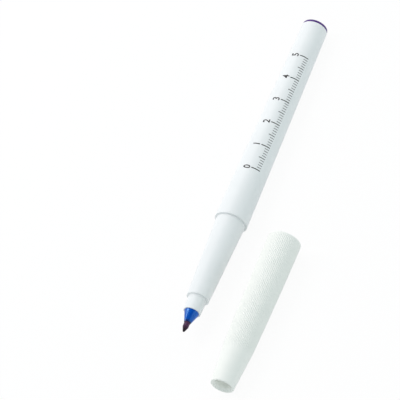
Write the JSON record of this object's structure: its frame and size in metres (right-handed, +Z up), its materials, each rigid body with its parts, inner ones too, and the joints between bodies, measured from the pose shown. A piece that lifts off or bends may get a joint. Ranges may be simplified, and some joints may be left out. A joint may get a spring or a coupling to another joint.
{
  "type": "surgical skin marker",
  "caption": "Slim white skin marker lying uncapped, with a dark fibre nib in a blue cone, a purple end plug, and its ribbed pull-off cap beside it.",
  "frame": {"origin": "middle of the footprint of the marker and its cap, on the table", "axes": "+X from the nib to the rear end, +Y away from the cap, +Z up"},
  "size_m": [0.1486, 0.0328, 0.0117],
  "materials": {
    "white_plastic": "satin moulded polypropylene",
    "cap_plastic": "finely ribbed satin polypropylene",
    "blue_plastic": "polished, stained with ink at its lip",
    "purple_plastic": "satin",
    "inked_fibre": "pressed fibre soaked with ink",
    "reservoir_fibre": "bonded fibre soaked with ink",
    "clear_film": "thin clear film",
    "seal_plastic": "soft natural polyethylene"
  },
  "bodies": {
    "pen": {"barrel": "white_plastic", "front_section": "white_plastic", "nib_holder": "blue_plastic", "nib": "inked_fibre", "ink_reservoir": "reservoir_fibre", "reservoir_film": "clear_film", "breather_tube": "clear_film", "end_plug": "purple_plastic"},
    "cap": {"cap_shell": "cap_plastic", "cap_seal": "seal_plastic"}
  },
  "joints": [
    {"name": "cap_pull", "type": "slide", "parent": "pen", "child": "cap", "axis": [-1, 0, 0], "range_m": [0, 0.046]}
  ]
}
